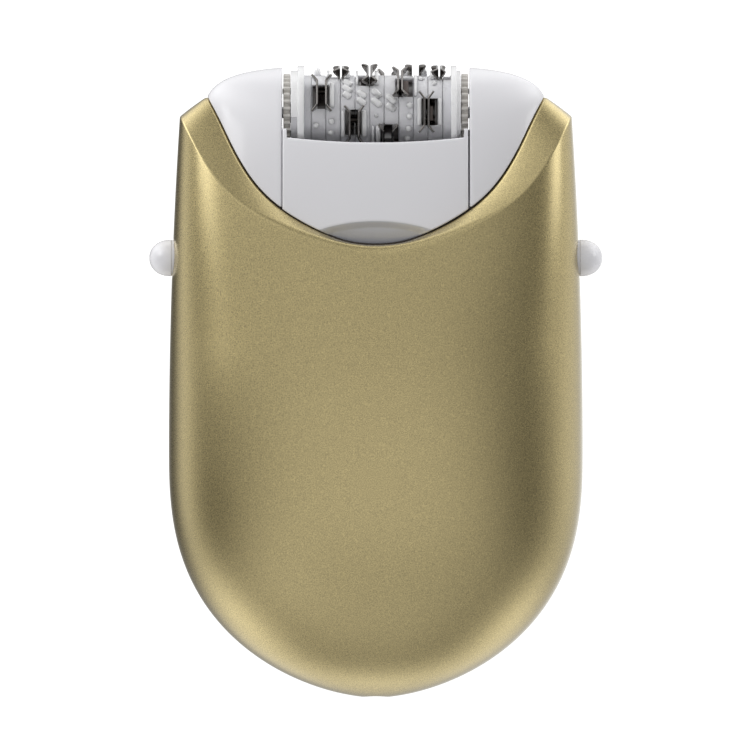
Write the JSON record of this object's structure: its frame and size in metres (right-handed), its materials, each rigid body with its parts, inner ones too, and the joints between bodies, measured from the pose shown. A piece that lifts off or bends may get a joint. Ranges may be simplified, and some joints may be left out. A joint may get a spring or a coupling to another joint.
{
  "type": "epilator",
  "caption": "Palm-sized cordless epilator: flat oval body with a scooped top, a lift-out head with a spinning tweezer drum, and two side release buttons.",
  "frame": {"origin": "on the plane that the rear pad rests on, under the middle of the whole part's length and width", "axes": "+Y along the body towards the head, +X to the right seen from the front, +Z out of the front cover; the part lies on its back"},
  "size_m": [0.0792, 0.1111, 0.035],
  "materials": {
    "gold_paint": "satin metallic gold paint with a fine flake on moulded plastic",
    "white_gloss": "glossy white moulded plastic",
    "drum_white": "white moulded plastic, slightly cooler and less glossy",
    "ivory_acetal": "unpainted ivory gear plastic",
    "tweezer_steel": "dark polished spring steel",
    "bright_steel": "plain bright steel",
    "brass": "turned brass",
    "grey_plastic": "grey glass-filled moulding",
    "board_green": "green solder mask",
    "black_plastic": "black moulded plastic",
    "cell_wrap": "blue shrink sleeve on a metal can",
    "clear_lens": "clear light pipe"
  },
  "bodies": {
    "handle": {"front_cover": "gold_paint", "rear_cover": "gold_paint", "chassis": "grey_plastic", "motor": "bright_steel", "compound_axle": "bright_steel", "output_axle": "bright_steel", "battery_cell": "cell_wrap", "battery_contact_left": "bright_steel", "battery_contact_right": "bright_steel", "circuit_board": "board_green", "power_switch": "black_plastic", "charging_socket": "black_plastic", "charge_light_lens": "clear_lens", "button_spring_left": "bright_steel", "button_spring_right": "bright_steel", "cover_screw_1": "bright_steel", "cover_screw_2": "bright_steel", "cover_screw_3": "bright_steel", "cover_screw_4": "bright_steel"},
    "head": {"head_housing": "white_gloss", "front_apron": "white_gloss", "rear_apron": "white_gloss", "drum_axle": "bright_steel", "idler_axle": "bright_steel"},
    "drum": {"drum_disc_1": "drum_white", "drum_disc_2": "drum_white", "drum_disc_3": "drum_white", "drum_disc_4": "drum_white", "drum_disc_5": "drum_white", "drum_disc_6": "drum_white", "drum_disc_7": "drum_white", "drum_disc_8": "drum_white", "drum_disc_9": "drum_white", "drum_end_left": "drum_white", "drum_end_right": "drum_white", "drum_gear_left": "ivory_acetal", "drum_gear_right": "ivory_acetal", "tweezer_plate_1": "tweezer_steel", "tweezer_plate_2": "tweezer_steel", "tweezer_plate_3": "tweezer_steel", "tweezer_plate_4": "tweezer_steel", "tweezer_plate_5": "tweezer_steel", "tweezer_plate_6": "tweezer_steel", "tweezer_plate_7": "tweezer_steel", "tweezer_plate_8": "tweezer_steel", "tweezer_plate_9": "tweezer_steel"},
    "comb_left_a": {"tweezer_comb_left_a": "tweezer_steel"},
    "comb_left_b": {"tweezer_comb_left_b": "tweezer_steel"},
    "comb_right_a": {"tweezer_comb_right_a": "tweezer_steel"},
    "comb_right_b": {"tweezer_comb_right_b": "tweezer_steel"},
    "idler": {"idler_gear": "ivory_acetal"},
    "output": {"output_gear": "ivory_acetal"},
    "compound": {"compound_gear": "ivory_acetal"},
    "rotor": {"motor_shaft": "bright_steel", "motor_pinion": "brass"},
    "button_left": {"release_button_left": "white_gloss"},
    "button_right": {"release_button_right": "white_gloss"},
    "switch_knob": {"power_knob": "white_gloss"},
    "roller_left": {"cam_roller_left": "bright_steel"},
    "roller_right": {"cam_roller_right": "bright_steel"}
  },
  "joints": [
    {"name": "head_lift", "type": "slide", "parent": "handle", "child": "head", "axis": [0, 1, 0], "range_m": [0, 0.04]},
    {"name": "drum_spin", "type": "hinge", "parent": "head", "child": "drum", "pos_m": [0, 0.0469, 0.0165], "axis": [1, 0, 0], "continuous": true},
    {"name": "left_tweezers_a", "type": "slide", "parent": "drum", "child": "comb_left_a", "axis": [1, 0, 0], "range_m": [0, 0.00116]},
    {"name": "left_tweezers_b", "type": "slide", "parent": "drum", "child": "comb_left_b", "axis": [1, 0, 0], "range_m": [-0.00075, 0.00028]},
    {"name": "right_tweezers_a", "type": "slide", "parent": "drum", "child": "comb_right_a", "axis": [1, 0, 0], "range_m": [-0.00116, 0]},
    {"name": "right_tweezers_b", "type": "slide", "parent": "drum", "child": "comb_right_b", "axis": [1, 0, 0], "range_m": [-0.00028, 0.00075]},
    {"name": "idler_spin", "type": "hinge", "parent": "head", "child": "idler", "pos_m": [0, 0.0349, 0.0165], "axis": [1, 0, 0], "continuous": true},
    {"name": "output_spin", "type": "hinge", "parent": "handle", "child": "output", "pos_m": [0, 0.0237, 0.0165], "axis": [1, 0, 0], "continuous": true},
    {"name": "compound_spin", "type": "hinge", "parent": "handle", "child": "compound", "pos_m": [0, 0.0157, 0.0165], "axis": [1, 0, 0], "continuous": true},
    {"name": "motor_spin", "type": "hinge", "parent": "handle", "child": "rotor", "pos_m": [0, 0.0052, 0.0165], "axis": [1, 0, 0], "continuous": true},
    {"name": "left_release", "type": "slide", "parent": "handle", "child": "button_left", "axis": [1, 0, 0], "range_m": [0, 0.002], "stiffness_N_per_m": 400, "springref_m": -0.003, "deforming": ["button_spring_left"]},
    {"name": "right_release", "type": "slide", "parent": "handle", "child": "button_right", "axis": [-1, 0, 0], "range_m": [0, 0.002], "stiffness_N_per_m": 400, "springref_m": -0.003, "deforming": ["button_spring_right"]},
    {"name": "power_slide", "type": "slide", "parent": "handle", "child": "switch_knob", "axis": [0, 1, 0], "range_m": [0, 0.005]},
    {"name": "left_roller_spin", "type": "hinge", "parent": "head", "child": "roller_left", "pos_m": [-0.0186, 0.0508, 0.0165], "axis": [0, 1, 0], "continuous": true},
    {"name": "right_roller_spin", "type": "hinge", "parent": "head", "child": "roller_right", "pos_m": [0.0186, 0.0508, 0.0165], "axis": [0, 1, 0], "continuous": true}
  ],
  "couplings": [
    {"joint": "idler_spin", "follows": "drum_spin", "ratio": -1.1429},
    {"joint": "output_spin", "follows": "drum_spin", "ratio": 1.1429},
    {"joint": "compound_spin", "follows": "drum_spin", "ratio": -2.6667},
    {"joint": "motor_spin", "follows": "drum_spin", "ratio": 8.5333}
  ]
}
